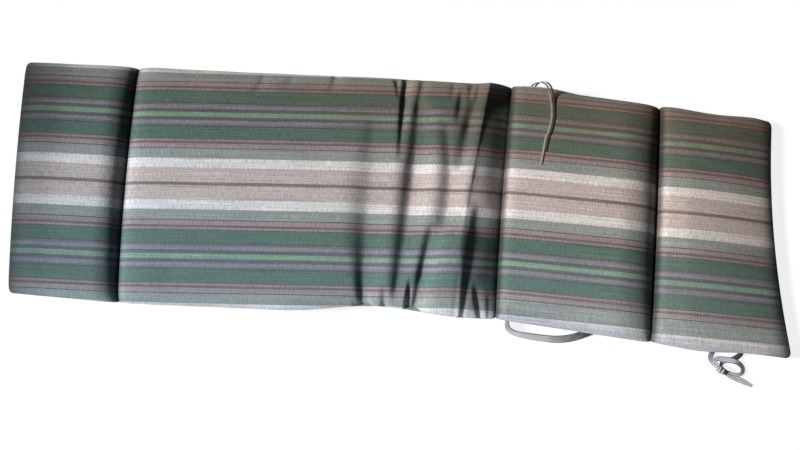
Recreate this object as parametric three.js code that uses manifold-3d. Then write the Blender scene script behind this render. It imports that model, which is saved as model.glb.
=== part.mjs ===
// Lounge chair cushion, lying face up: a long filled cover with four sections parted by
// three sewn channels, a strap loop and a knotted pair of ties on its front edge, and a
// loose pair of ties over its back edge. Millimetres, +X along the length, +Y towards the
// back edge, +Z up, the floor at z = 0.
import * as THREE from 'three';
import Module from 'manifold-3d';

const wasm = await Module();
wasm.setup();

// Rolled long edges: height of the widest line, of the roll's top, and how far in each roll reaches
const EDGE_Z = 27;
const EDGE_TOP_Z = 46;
const TOP_ROLL = 32;
const BOTTOM_ROLL = 14;

// Sewn channels: the flat web between two sections, its lift off the floor and its notch in the edge
const WEB_Z = 15;
const WEB_HALF = 4;
const WEB_UNDER_ROUND = 14;
const WEB_NOTCH = 5;
const WEB_NOTCH_ROUND = 32;

// Free ends: rounding below the widest line, its height at the flat foot end and how soon the long
// edges rise from there, the blunt tip and the corners in plan
const END_UNDER_ROUND = 18;
const FOOT_END_Z = 14;
const FOOT_EDGE_RISE = 60;
const TIP_HALF = 2.5;
const CORNER_RADIUS = 12;

// Crown: how squarely the face rises from the edges, and how much lower it lies at a section's ends
const CROWN_POWER = 2.5;
const CROWN_END_DROP = 0.25;

// Steps of the skin
const ROLL_STEPS = 4;
const FACE_STEPS = 16;
const UNDER_ROLL_STEPS = 3;
const UNDER_STEPS = 5;
const FALL_STEPS = 8;
const PLAIN_PITCH = 50;
const FOLD_PITCH = 6.5;
const FOLD_FIELD_START = -150;

// Seat gap between pieces that touch
const SEAT_GAP = 0.3;

// Names the columns of a table written as rows
function table(columns, rows) {
  return rows.map((row) => Object.fromEntries(columns.map((name, i) => [name, row[i]])));
}

// Lines across the cushion: where each meets the back and front edge, and how far its middle bows in X
const LINES = table(
  ['name', 'backX', 'backY', 'frontX', 'frontY', 'bow'],
  [
    ['left_end', -929, 271, -879, -296, -5],
    ['channel_1', -651, 279, -621, -300, -5],
    ['channel_2', 266, 301, 256, -270, -4],
    ['channel_3', 628, 277, 616, -297, 1],
    ['right_end', 903, 262, 941, -308, -17],
  ],
);

// Sections between the lines: height of the crown, how far from each line the face starts to
// fall, and how squarely it falls, from 1 for a straight slope to 6 for a blunt end
const SECTIONS = table(
  [
    'name', 'crown', 'leftFall', 'leftPower',
    'rightFallBack', 'rightFallFront', 'rightPowerBack', 'rightPowerFront',
  ],
  [
    ['head', 57, 85, 2.2, 62, 62, 2.1, 2.1],
    ['body', 61, 130, 5, 52, 113, 0.75, 1.2],
    ['knee', 60, 60, 6, 95, 95, 1.9, 1.9],
    ['foot', 58, 60, 6, 235, 235, 1.3, 1.3],
  ],
);

// Long soft waves of the two long edges: middle, half length and how far the edge is drawn in
const EDGE_WAVES = table(
  ['edge', 'x', 'half', 'drawnIn'],
  [
    ['front', -25, 215, 18],
    ['back', -60, 330, -3],
    ['back', 228, 60, -6],
    ['back', 345, 95, -7],
    ['back', 755, 100, 4],
    ['front', 730, 120, -6],
  ],
);

// Folds pressed into the body section, each a trough across the length: the line of its steep
// side at its start, middle and end, then half width and depth at these three places, and the
// length over which its ends fade
const FOLDS = table(
  [
    'fromX', 'midX', 'toX', 'fromY', 'toY',
    'halfFrom', 'halfMid', 'halfTo', 'deepFrom', 'deepMid', 'deepTo', 'fade',
  ],
  [
    [0, -1, 1, 294, 90, 8, 8, 8, 7, 5, 2, 30],
    [35, 21, 14, 235, -240, 9, 26, 14, 4, 16, 11, 50],
    [98, 112, 102, 185, -75, 15, 25, 27, 4, 14, 13, 60],
    [86, 70, 58, -70, -275, 12, 12, 10, 7, 11, 11, 40],
    [166, 151, 141, 250, 80, 14, 18, 20, 6, 11, 6, 40],
    [-82, -77, -55, 90, -290, 42, 29, 10, 6, 11, 9, 80],
    [202, 184, 171, 250, -10, 10, 12, 12, 4, 4, 4, 40],
    [193, 177, 165, -10, -290, 15, 10, 9, 6, 6, 9, 40],
  ],
);
const FOLD_EASE = 2.6;
const STEEP_SIDE = 0.75;

// Sewn ties: self-fabric tapes, thickness of each
const BACK_TIE_THICK = 1.6;
const FRONT_TIE_THICK = 2;
const STRAP_THICK = 2.4;
const TAPE_STEPS_PER_ROW = 3;

// Routes: middle of the tape, its width there, and its turn about its own length in degrees
const ROUTE = ['x', 'y', 'z', 'wide', 'turn'];
const BACK_TIE_LONG = table(ROUTE, [
  [312, 288, 22, 4.4, 0],
  [313, 303, 24, 4.4, 0],
  [318, 308, 33, 4.4, 0],
  [326, 308, 44, 4.4, 0],
  [337, 304, 53, 4.4, 0],
  [345, 298, 55, 4.4, 0],
  [351, 288, 54, 4.4, 0],
  [355, 276, 52.6, 4.4, 0],
  [358, 261, 52.2, 4.4, 0],
  [360.5, 243, 53.2, 4.4, 0],
  [361, 226, 54.4, 4.4, 0],
  [360, 211, 55.4, 4.4, 0],
  [357.5, 195, 56.5, 4.2, 0],
  [354.5, 183, 57.1, 4.2, 0],
  [349.5, 170, 57.8, 4.2, 0],
  [346.5, 156, 58.4, 4.2, 0],
  [344.5, 141, 58.9, 4.2, 0],
  [342.5, 125, 59.3, 4, 0],
  [340.5, 110, 59.7, 3.8, 0],
  [339, 98, 60, 3.4, 0],
]);
const BACK_TIE_SHORT = table(ROUTE, [
  [320.5, 288, 22, 4.4, 0],
  [321.5, 303, 24, 4.4, 0],
  [326.5, 309, 34, 4.4, 0],
  [334.5, 309.5, 45, 4.4, 0],
  [344, 306, 55, 4.4, 0],
  [352, 299, 57.3, 4.4, 0],
  [358.2, 289, 55.3, 4.4, 0],
  [361.6, 276, 53.2, 4.4, 0],
  [364.2, 261, 52.4, 4.4, 0],
  [366, 243, 53.3, 4.4, 0],
  [366.2, 226, 54.5, 4.4, 0],
  [365, 211, 55.5, 4.4, 0],
  [362.6, 195.5, 56.6, 4.2, 0],
  [359.7, 183.5, 57.2, 4.2, 0],
  [354.9, 170, 57.9, 4.2, 0],
  [351.7, 156, 58.4, 4.2, 0],
  [349.7, 143, 58.9, 4, 0],
  [348, 131, 59.2, 3.6, 0],
]);
const STRAP = table(ROUTE, [
  [289, -256, 16, 16, 65],
  [285, -270, 13, 16, 65],
  [285, -281, 10.5, 17, 62],
  [291, -291, 9, 17, 58],
  [307, -298, 8, 17, 50],
  [339, -302, 7.2, 18, 42],
  [374, -304, 6.4, 18, 34],
  [402, -304, 5.4, 18, 26],
  [432, -299, 4.2, 18, 18],
  [458, -290, 4.6, 18, 14],
  [480, -280, 7.5, 18, 10],
  [498, -271, 11, 18, 8],
]);
const FRONT_TIE_LEFT = table(ROUTE, [
  [766, -290, 10, 12, 0],
  [764, -304, 6.5, 12, 0],
  [761, -316, 2.2, 12, 0],
  [764.5, -327, 1.6, 11, 0],
  [771.5, -334.5, 3, 9, 0],
  [778, -341, 5, 8, 0],
]);
const FRONT_TIE_RIGHT = table(ROUTE, [
  [831, -290, 10, 12, 0],
  [829, -305, 6, 12, 0],
  [822, -313, 1.8, 12, 0],
  [811, -318.5, 1.3, 11, 0],
  [797, -323.5, 1.3, 9, 0],
  [787, -329.5, 1.8, 8, 0],
  [784, -340, 4, 7, 0],
]);
const FRONT_TIE_LOOP = table(ROUTE, [
  [779, -341, 10, 6, 0],
  [773, -332, 8.4, 7, 0],
  [770, -325, 6.8, 8, 0],
  [775, -320, 5.6, 10, 0],
  [788, -320.5, 4.8, 13.5, 0],
  [808, -321.5, 4.6, 13, 0],
  [824, -326, 4.2, 11.5, 0],
  [833.5, -334, 3.2, 10, 0],
  [835.5, -343, 3, 9, 0],
  [830.5, -350.5, 4, 8.5, 0],
  [818, -353.5, 5, 8, 0],
  [803, -350.5, 6.2, 7.5, 0],
  [788, -345, 8.5, 6, 0],
]);
const FRONT_TIE_TAIL = table(ROUTE, [
  [788, -348.5, 4.5, 8, 0],
  [797, -352, 2.6, 10, 0],
  [810, -357.5, 1.6, 12.5, 0],
  [830, -365, 1.4, 12.5, 0],
  [846, -371.5, 1.3, 10, 0],
  [857, -376, 1.3, 6, 0],
]);

// Knot of the front ties: middle, heading in plan, length, thickness, wraps and how proud they stand
const KNOT = { x: 783, y: -345, heading: -32, length: 24, radius: 8, high: 6.4, wraps: 3, proud: 0.12 };
const KNOT_STEPS = 24;
const KNOT_SIDES = 14;

// Swell of the skin from 0 at a line to 1 at the given reach, round for power 2 and blunter above
function swell(distance, reach, power = 2) {
  const short = Math.max(0, 1 - distance / reach);
  return (1 - short ** power) ** (1 / power);
}

function smooth(value) {
  const t = THREE.MathUtils.clamp(value, 0, 1);
  return t * t * (3 - 2 * t);
}

function lerp(a, b, t) {
  return a + (b - a) * t;
}

// Draw-in of one long edge at a place along the length
function edgeWave(edge, x) {
  let total = 0;
  for (const wave of EDGE_WAVES.filter((row) => row.edge === edge)) {
    const off = Math.abs(x - wave.x) / wave.half;
    total += off < 1 ? wave.drawnIn * Math.cos((off * Math.PI) / 2) ** 2 : 0;
  }
  return total;
}

// Smooth run through three values
function alongThree(start, middle, end, share) {
  return lerp(start, end, share) + 4 * share * (1 - share) * (middle - (start + end) / 2);
}

// Depth of all folds at a place on the face: steep on the left, easing out on the right
function foldDepth(x, y) {
  let depth = 0;
  for (const fold of FOLDS) {
    const share = (y - fold.fromY) / (fold.toY - fold.fromY);
    const s = THREE.MathUtils.clamp(share, 0, 1);
    const half = alongThree(fold.halfFrom, fold.halfMid, fold.halfTo, s);
    const deep = alongThree(fold.deepFrom, fold.deepMid, fold.deepTo, s);
    const aside = x - alongThree(fold.fromX, fold.midX, fold.toX, s) - STEEP_SIDE * half;
    const reach = aside < 0 ? half : half * FOLD_EASE;
    const toEnd = Math.min(share, 1 - share) * Math.abs(fold.toY - fold.fromY);
    depth += deep * smooth(toEnd / fold.fade + 0.5) * Math.exp(-((aside / reach) ** 2));
  }
  return depth;
}

// Mean length of a section between its two lines
function sectionLength(index) {
  const left = LINES[index];
  const right = LINES[index + 1];
  return (right.backX + right.frontX - left.backX - left.frontX) / 2;
}

// Distances along a section at which the skin has a ring
function ringPlaces(index) {
  const length = sectionLength(index);
  const section = SECTIONS[index];
  const rightFall = Math.max(section.rightFallBack, section.rightFallFront);
  const places = [];
  for (let i = 0; i < FALL_STEPS; i += 1) {
    places.push(section.leftFall * (1 - Math.cos((i / FALL_STEPS) * Math.PI * 0.5)));
  }
  const startX = (LINES[index].backX + LINES[index].frontX) / 2;
  const plainEnd = Math.min(length - rightFall, Math.max(section.leftFall, FOLD_FIELD_START - startX));
  const isFolded = section.name === 'body';
  const stretches = isFolded
    ? [[section.leftFall, plainEnd, PLAIN_PITCH], [plainEnd, length - rightFall, FOLD_PITCH]]
    : [[section.leftFall, Math.max(section.leftFall, length - rightFall), PLAIN_PITCH]];
  for (const [from, to, pitch] of stretches) {
    const count = Math.ceil((to - from) / pitch);
    for (let i = 0; i < count; i += 1) {
      places.push(lerp(from, to, i / count));
    }
  }
  const fallSteps = isFolded ? FALL_STEPS * 2 : FALL_STEPS;
  for (let i = fallSteps; i > 0; i -= 1) {
    places.push(length - rightFall * (1 - Math.cos((i / fallSteps) * Math.PI * 0.5)));
  }
  return places.sort((a, b) => a - b);
}

// Rows of the girth: share across the face, or the turn of a roll, with the way the skin faces there
function girthRows() {
  const rows = [];
  const quarter = Math.PI / 2;
  for (let i = 0; i < ROLL_STEPS; i += 1) {
    rows.push({ part: 'top', edge: 'back', turn: (quarter * i) / ROLL_STEPS });
  }
  for (let i = 0; i <= FACE_STEPS; i += 1) {
    rows.push({ part: 'top', edge: 'face', across: i / FACE_STEPS, turn: quarter });
  }
  for (let i = ROLL_STEPS - 1; i >= 0; i -= 1) {
    rows.push({ part: 'top', edge: 'front', turn: (quarter * i) / ROLL_STEPS });
  }
  for (let i = 1; i < UNDER_ROLL_STEPS; i += 1) {
    rows.push({ part: 'under', edge: 'front', turn: (quarter * i) / UNDER_ROLL_STEPS });
  }
  for (let i = UNDER_STEPS; i >= 0; i -= 1) {
    rows.push({ part: 'under', edge: 'face', across: i / UNDER_STEPS, turn: quarter });
  }
  for (let i = UNDER_ROLL_STEPS - 1; i > 0; i -= 1) {
    rows.push({ part: 'under', edge: 'back', turn: (quarter * i) / UNDER_ROLL_STEPS });
  }
  return rows;
}

// Share of the way from the back edge to the front edge for one row of the girth
function shareAcross(row, width) {
  const reach = row.part === 'top' ? TOP_ROLL : BOTTOM_ROLL;
  const inset = (reach * (1 - Math.cos(row.turn))) / width;
  if (row.edge === 'back') {
    return inset;
  }
  if (row.edge === 'front') {
    return 1 - inset;
  }
  return lerp(reach / width, 1 - reach / width, row.across);
}

// One closed ring of the skin across the cushion, grown outwards by the given amount
function skinRing(index, place, rows, grow) {
  const section = SECTIONS[index];
  const left = LINES[index];
  const right = LINES[index + 1];
  const length = sectionLength(index);
  const t = place / length;
  const fromRight = length - place;
  const nearLeft = t < 0.5;
  const atEnd = nearLeft ? index === 0 : index === SECTIONS.length - 1;
  const toLine = nearLeft ? place : fromRight;

  // Edges of the cushion on this ring, drawn in at channels and rounded at corners
  const backX = lerp(left.backX, right.backX, t);
  const frontX = lerp(left.frontX, right.frontX, t);
  const cornerShort = Math.max(0, CORNER_RADIUS - toLine);
  const corner = CORNER_RADIUS - Math.sqrt(CORNER_RADIUS ** 2 - cornerShort ** 2);
  const notch = WEB_NOTCH * (1 - swell(toLine, WEB_NOTCH_ROUND));
  const drawIn = atEnd ? corner : notch;
  const backY = lerp(left.backY, right.backY, t) - edgeWave('back', backX) - drawIn;
  const frontY = lerp(left.frontY, right.frontY, t) + edgeWave('front', frontX) + drawIn;
  const bow = lerp(left.bow, right.bow, t);
  const width = backY - frontY;

  // Heights that the skin closes to at the two lines
  const isFoot = index === SECTIONS.length - 1;
  const passed = smooth(t);
  const closeMid = lerp(index === 0 ? EDGE_Z : WEB_Z, isFoot ? FOOT_END_Z : WEB_Z, passed);
  const closeHalf = lerp(index === 0 ? TIP_HALF : WEB_HALF, isFoot ? TIP_HALF : WEB_HALF, passed);
  const underRound = atEnd ? END_UNDER_ROUND : WEB_UNDER_ROUND;
  const underSwell = swell(toLine, underRound);

  return rows.map((row) => {
    const w = shareAcross(row, width);
    const x = lerp(backX, frontX, w) + bow * 4 * w * (1 - w);
    const y = lerp(backY, frontY, w);
    const rightFall = lerp(section.rightFallBack, section.rightFallFront, w);
    const rightPower = lerp(section.rightPowerBack, section.rightPowerFront, w);
    const leftSwell = swell(place, section.leftFall, section.leftPower);
    const rightSwell = swell(fromRight, rightFall, rightPower);
    const topSwell = leftSwell * rightSwell;
    const edgeSwell = isFoot ? leftSwell * smooth(fromRight / FOOT_EDGE_RISE) : topSwell;
    const edgeZ = lerp(closeMid, EDGE_Z, edgeSwell);
    const crownEnd = 1 - CROWN_END_DROP * Math.abs(2 * t - 1) ** 3;
    const crownShare = (1 - Math.abs(2 * w - 1) ** CROWN_POWER) * crownEnd;
    const faceZ = lerp(closeMid + closeHalf, lerp(EDGE_TOP_Z, section.crown, crownShare), topSwell);
    const underZ = lerp(closeMid - closeHalf, 0, underSwell);
    const rise = Math.sin(row.turn);
    const z = row.part === 'top' ? lerp(edgeZ, faceZ, rise) : lerp(edgeZ, underZ, rise);

    // The skin moves along the way it faces: in at folds of the top, out where it is grown
    const out = Math.cos(row.turn) * (w < 0.5 ? 1 : -1);
    const up = rise * (row.part === 'top' ? 1 : -1);
    const fold = row.part === 'top' ? foldDepth(x, y) * topSwell : 0;
    const move = grow - fold;
    return new THREE.Vector3(x, y + out * move, z + up * move);
  });
}

// Faces that close a ring of the skin, in short steps from its back edge to its front edge
function stripCap(ring, topCount) {
  const top = ring.slice(0, topCount).map((point, i) => i);
  const under = ring.map((point, i) => i).slice(topCount).reverse();
  under.unshift(top[0]);
  under.push(top[topCount - 1]);
  const faces = [];
  let a = 0;
  let b = 0;
  while (a + 1 < top.length || b + 1 < under.length) {
    const isTopNext = b + 1 === under.length
      || (a + 1 < top.length && ring[top[a + 1]].y >= ring[under[b + 1]].y);
    faces.push(isTopNext ? [top[a], top[a + 1], under[b]] : [under[b + 1], under[b], top[a]]);
    a += isTopNext ? 1 : 0;
    b += isTopNext ? 0 : 1;
  }
  return faces.filter((face) => new Set(face).size === 3);
}

// Closed solid from rings of equal size and the faces that cap both ends, its faces pointing out
function loft(rings, capFaces) {
  const size = rings[0].length;
  const points = rings.flat();
  const faces = [];
  for (let r = 0; r + 1 < rings.length; r += 1) {
    for (let i = 0; i < size; i += 1) {
      const a = r * size + i;
      const b = r * size + ((i + 1) % size);
      faces.push([a, b, b + size], [a, b + size, a + size]);
    }
  }
  const last = (rings.length - 1) * size;
  for (const [a, b, c] of capFaces) {
    faces.push([c, b, a], [last + a, last + b, last + c]);
  }
  let volume = 0;
  for (const [a, b, c] of faces) {
    volume += points[a].dot(points[b].clone().cross(points[c]));
  }
  const index = faces.flatMap(([a, b, c]) => (volume > 0 ? [a, b, c] : [a, c, b]));
  const geometry = new THREE.BufferGeometry();
  geometry.setAttribute('position', new THREE.Float32BufferAttribute(points.flatMap((p) => p.toArray()), 3));
  geometry.setIndex(index);
  return geometry;
}

function cushionSolid(grow) {
  const rows = girthRows();
  const rings = [];
  SECTIONS.forEach((section, index) => {
    for (const place of ringPlaces(index)) {
      rings.push(skinRing(index, place, rows, grow));
    }
  });
  const lastSection = SECTIONS.length - 1;
  rings.push(skinRing(lastSection, sectionLength(lastSection), rows, grow));
  const topCount = rows.filter((row) => row.part === 'top').length;
  return loft(rings, stripCap(rings[0], topCount));
}

// Corners of a tape's section, with its long edges eased
function tapeSection(wide, thick) {
  const a = wide / 2;
  const b = thick / 2;
  const ease = thick * 0.3;
  return [
    [a - ease, b], [ease - a, b], [-a, b - ease], [-a, ease - b],
    [ease - a, -b], [a - ease, -b], [a, ease - b], [a, b - ease],
  ];
}

// Flat tape along a route; sideAxis gives its width's direction where the route climbs
function tapeSolid(route, thick, sideAxis) {
  const curve = new THREE.CatmullRomCurve3(route.map((row) => new THREE.Vector3(row.x, row.y, row.z)));
  const up = new THREE.Vector3(0, 0, 1);
  const count = (route.length - 1) * TAPE_STEPS_PER_ROW;
  const rings = [];
  for (let i = 0; i <= count; i += 1) {
    const u = i / count;
    const place = u * (route.length - 1);
    const row = Math.min(route.length - 2, Math.floor(place));
    const wide = lerp(route[row].wide, route[row + 1].wide, place - row);
    const turn = THREE.MathUtils.degToRad(lerp(route[row].turn, route[row + 1].turn, place - row));
    const middle = curve.getPoint(u);
    const tangent = curve.getTangent(u);
    const side = sideAxis ? sideAxis.clone() : up.clone().cross(tangent);
    side.addScaledVector(tangent, -side.dot(tangent)).normalize().applyAxisAngle(tangent, turn);
    const face = tangent.clone().cross(side);
    rings.push(tapeSection(wide, thick).map(([s, f]) => (
      middle.clone().addScaledVector(side, s).addScaledVector(face, f)
    )));
  }
  const flat = tapeSection(route[0].wide, thick).map(([s, f]) => new THREE.Vector2(s, f));
  return loft(rings, THREE.ShapeUtils.triangulateShape(flat, []));
}

// Wrapped knot lying on the floor: three ridges round a short thick core
function knotSolid(grow) {
  const profile = [];
  for (let i = 0; i <= KNOT_STEPS; i += 1) {
    const share = (2 * i) / KNOT_STEPS - 1;
    const ridge = 1 - KNOT.proud * Math.cos(Math.PI * KNOT.wraps * (share + 1)) * (1 - share * share);
    const radius = KNOT.radius * Math.sqrt(Math.max(0, 1 - share ** 4)) * ridge;
    const isTip = i === 0 || i === KNOT_STEPS;
    profile.push(new THREE.Vector2(isTip ? 0 : radius + grow, share * (KNOT.length / 2 + grow)));
  }
  const geometry = new THREE.LatheGeometry(profile, KNOT_SIDES);
  geometry.scale(1, 1, KNOT.high / KNOT.radius);
  geometry.rotateZ(THREE.MathUtils.degToRad(KNOT.heading - 90));
  geometry.translate(KNOT.x, KNOT.y, KNOT.high * (1 + KNOT.proud) + SEAT_GAP);
  return geometry;
}

// Merged points and triangles of a geometry as a solid that can be cut
function toManifold(geometry) {
  const merged = new Map();
  const points = [];
  const remap = [];
  const position = geometry.getAttribute('position');
  for (let i = 0; i < position.count; i += 1) {
    const point = [position.getX(i), position.getY(i), position.getZ(i)];
    const key = point.map((value) => Math.round(value * 1000)).join(' ');
    if (!merged.has(key)) {
      merged.set(key, merged.size);
      points.push(...point);
    }
    remap.push(merged.get(key));
  }
  const triangles = [];
  for (let i = 0; i < geometry.index.count; i += 3) {
    const corner = [0, 1, 2].map((step) => remap[geometry.index.getX(i + step)]);
    if (new Set(corner).size === 3) {
      triangles.push(...corner);
    }
  }
  return new wasm.Manifold(new wasm.Mesh({
    numProp: 3,
    vertProperties: new Float32Array(points),
    triVerts: new Uint32Array(triangles),
  }));
}

function toGeometry(solid) {
  const mesh = solid.getMesh();
  const geometry = new THREE.BufferGeometry();
  geometry.setAttribute('position', new THREE.BufferAttribute(new Float32Array(mesh.vertProperties), 3));
  geometry.setIndex(new THREE.BufferAttribute(new Uint32Array(mesh.triVerts), 1));
  return geometry;
}

// A piece seated against others: cut back by each of them, grown by the seat gap
function seated(geometry, ...grownNeighbours) {
  let solid = toManifold(geometry);
  for (const neighbour of grownNeighbours) {
    solid = solid.subtract(neighbour);
  }
  return toGeometry(solid);
}

const STRIPED_CLOTH = new THREE.MeshStandardMaterial({ color: 0x8d9488, roughness: 0.92, metalness: 0 });
const TIE_CLOTH = new THREE.MeshStandardMaterial({ color: 0xb3a592, roughness: 0.92, metalness: 0 });

const alongLength = new THREE.Vector3(1, 0, 0);
const cushionSeat = toManifold(cushionSolid(SEAT_GAP));
const knotSeat = toManifold(knotSolid(SEAT_GAP));

const PIECES = [
  ['cushion', cushionSolid(0), STRIPED_CLOTH],
  ['strap_loop', seated(tapeSolid(STRAP, STRAP_THICK), cushionSeat), TIE_CLOTH],
  ['tie_back_long', seated(tapeSolid(BACK_TIE_LONG, BACK_TIE_THICK, alongLength), cushionSeat), TIE_CLOTH],
  ['tie_back_short', seated(tapeSolid(BACK_TIE_SHORT, BACK_TIE_THICK, alongLength), cushionSeat), TIE_CLOTH],
  ['tie_front_left', seated(tapeSolid(FRONT_TIE_LEFT, FRONT_TIE_THICK), cushionSeat, knotSeat), TIE_CLOTH],
  ['tie_front_right', seated(tapeSolid(FRONT_TIE_RIGHT, FRONT_TIE_THICK), cushionSeat, knotSeat), TIE_CLOTH],
  ['tie_front_loop', seated(tapeSolid(FRONT_TIE_LOOP, FRONT_TIE_THICK), knotSeat), TIE_CLOTH],
  ['tie_front_tail', seated(tapeSolid(FRONT_TIE_TAIL, FRONT_TIE_THICK), knotSeat), TIE_CLOTH],
  ['tie_front_knot', toGeometry(toManifold(knotSolid(0))), TIE_CLOTH],
];

const group = new THREE.Group();
for (const [name, geometry, material] of PIECES) {
  const mesh = new THREE.Mesh(geometry, material);
  mesh.name = name;
  group.add(mesh);
}

// The origin stands on the floor under the middle of the box of the cushion and its strap
const box = new THREE.Box3();
for (const name of ['cushion', 'strap_loop']) {
  box.expandByObject(group.getObjectByName(name));
}
const middle = box.getCenter(new THREE.Vector3());
group.position.set(-middle.x, -middle.y, -box.min.z);

export default group;
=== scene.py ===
"""Lounge chair cushion: striped woven cover over its filling, sewn channels, strap loop and ties."""

import math
from types import SimpleNamespace

import bmesh
import bpy
import numpy as np
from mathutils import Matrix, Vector, noise


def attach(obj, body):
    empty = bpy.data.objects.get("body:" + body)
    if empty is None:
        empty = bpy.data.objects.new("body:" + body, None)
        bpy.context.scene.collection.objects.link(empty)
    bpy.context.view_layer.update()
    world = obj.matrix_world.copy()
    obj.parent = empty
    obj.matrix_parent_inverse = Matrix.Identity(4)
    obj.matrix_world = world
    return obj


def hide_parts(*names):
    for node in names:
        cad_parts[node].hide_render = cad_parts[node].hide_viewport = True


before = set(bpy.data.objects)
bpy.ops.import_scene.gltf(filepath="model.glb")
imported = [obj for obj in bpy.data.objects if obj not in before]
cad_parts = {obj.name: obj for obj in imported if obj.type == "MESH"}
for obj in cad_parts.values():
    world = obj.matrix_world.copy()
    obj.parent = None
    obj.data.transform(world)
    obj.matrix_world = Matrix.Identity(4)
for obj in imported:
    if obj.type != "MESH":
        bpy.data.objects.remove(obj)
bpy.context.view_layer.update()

# Tables are in millimetres on the cushion's own plan, which the row frame shifts by ROW_SHIFT
MM = 0.001
ROW_SHIFT = np.array([-6.0, 3.163, 0.0])

# Rolled long edges: height of the widest line, of the roll's top, and how far in each roll reaches
EDGE_Z = 27.0
EDGE_TOP_Z = 46.0
TOP_ROLL = 32.0
BOTTOM_ROLL = 14.0

# Sewn channels: web between two sections, its rounding below and its notch in the edge
WEB_Z = 15.0
WEB_HALF = 4.0
WEB_UNDER_ROUND = 14.0
WEB_NOTCH = 5.0
WEB_NOTCH_ROUND = 32.0

# Free ends: rounding below, height of the flat foot end and the rise of its long edges, blunt tip and
# corners in plan
END_UNDER_ROUND = 18.0
FOOT_END_Z = 14.0
FOOT_EDGE_RISE = 60.0
TIP_HALF = 2.5
CORNER_RADIUS = 12.0

# Crown: how squarely the face rises from the edges, and its drop towards a section's ends
CROWN_POWER = 2.5
CROWN_END_DROP = 0.25
CROWN_END_POWER = 3

# Lines across the cushion
LINE_COLUMNS = ("back_x", "back_y", "front_x", "front_y", "bow")
LINES = np.array([
    (-929, 271, -879, -296, -5),
    (-651, 279, -621, -300, -5),
    (266, 301, 256, -270, -4),
    (628, 277, 616, -297, 1),
    (903, 262, 941, -308, -17),
], dtype=float)

# Sections between the lines; brown_left and brown_right place the middle stripe at their two ends,
# stretch is how much narrower the stripes lie there, and pitch is the spacing of the skin's rings
SECTION_COLUMNS = (
    "crown", "left_fall", "left_power", "right_fall_back", "right_fall_front",
    "right_power_back", "right_power_front", "brown_left", "brown_right", "stretch", "pitch",
)
SECTIONS = np.array([
    (57, 85, 2.2, 62, 62, 2.1, 2.1, -25, -18, 1.0, 5.0),
    (61, 130, 5, 52, 113, 0.75, 1.2, -20, 30, 1.01, 3.2),
    (60, 60, 6, 95, 95, 1.9, 1.9, 25.8, 16.8, 1.035, 5.0),
    (58, 60, 6, 235, 235, 1.3, 1.3, 9, 6.5, 1.035, 5.0),
], dtype=float)
FIRST_PAST_BODY = 2

# Long soft waves of the long edges: edge (1 back, -1 front), middle, half length, drawn in
EDGE_WAVES = (
    (-1, -25, 215, 18),
    (1, -60, 330, -3),
    (1, 228, 60, -6),
    (1, 345, 95, -7),
    (1, 755, 100, 4),
    (-1, 730, 120, -6),
)

# Folds across the body section: x of the steep side at the start, middle and end, y of the start and
# the end, half width and depth at the three places, and the length over which the ends fade. A depth
# below zero is a low ridge
FOLDS = (
    ((0, -1, 1), (294, 90), (6, 6, 6), (8, 6, 2), 30),
    ((42, 37, 30), (292, 200), (6, 6, 6), (3, 2.5, 0.5), 25),
    ((35, 21, 12), (235, -240), (9, 26, 9), (4, 16, 5), 50),
    ((98, 112, 102), (185, -75), (15, 25, 27), (4, 14, 13), 60),
    ((86, 70, 57), (-70, -275), (12, 12, 9), (7, 11, 11), 40),
    ((166, 151, 141), (250, 80), (14, 18, 20), (6, 11, 6), 40),
    ((138, 134, 131), (270, 185), (7, 8, 9), (3, 4.5, 2), 30),
    ((-82, -78, -58), (90, -290), (42, 28, 3), (6, 11, 6), 80),
    ((202, 184, 171), (250, -10), (10, 12, 12), (4, 4, 4), 40),
    ((193, 179, 171), (-10, -290), (15, 7, 3), (6, 4.5, 3.5), 40),
    ((198, 206, 221), (-195, -290), (6, 5, 4), (3, 7, 9), 30),
    ((49, 45, 43), (-195, -290), (6, 4, 3), (3, 9, 11), 30),
    ((118, 116, 114), (290, 245), (5, 5, 5), (2, 1.5, 1), 15),
    ((161, 159, 158), (290, 245), (5, 5, 5), (3, 2.5, 2), 15),
    ((180, 177, 174), (290, 245), (4, 4, 4), (2, 2, 1.5), 15),
    ((-23, -17, -11), (290, 240), (5, 5, 5), (4, 3, 2), 15),
    ((-171, -174, -177), (290, 250), (6, 7, 8), (3, 2, 1.5), 20),
    ((-75, -78, -80), (190, 70), (20, 22, 20), (2, 4, 2), 50),
    ((-343, -354, -366), (274, 219), (6, 7, 8), (2, 1.5, 1), 15),
    ((-275, -283, -292), (276, 247), (6, 7, 8), (2, 1.5, 1), 15),
    ((-79, -76, -73), (-247, -278), (4, 4, 3), (1, 2, 4), 12),
    ((-51, -43, -33), (-250, -275), (4, 4, 3), (1, 2, 4), 12),
    ((232, 235, 238), (-215, -280), (5, 5, 4), (3, 5, 6), 15),
    ((-12, -10, -8), (-215, -290), (5, 5, 4), (1, 3, 4), 20),
    ((161, 163, 163), (-120, -290), (5, 5, 4), (-0.8, -1.6, -2), 30),
)
FOLD_EASE = 2.6
STEEP_SIDE = 0.75

# Small unevenness of the filled cover: broad lumps, and puckers drawn out across the channels
LUMP_HIGH = 0.7
LUMP_LONG = 70.0
LUMP_SEED = 3.1
PUCKER_HIGH = 0.9
PUCKER_LONG = 22.0
PUCKER_STRETCH = 0.3
PUCKER_START = 6.0
PUCKER_REACH = 26.0
PUCKER_SEED = 7.7

# Fineness of the skin: steps of a fall to a line, least gap between rings, rows round the girth, and
# the gap that is welded along the edges
FALL_STEPS = 14
RING_GAP = 0.35
RING_END_GAP = 0.2
ROLL_ROWS = 9
FACE_ROWS = 118
UNDER_ROLL_ROWS = 6
UNDER_ROWS = 14
TOP_ROWS = ROLL_ROWS + FACE_ROWS + 1 + ROLL_ROWS
WELD_GAP = 0.001

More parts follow.
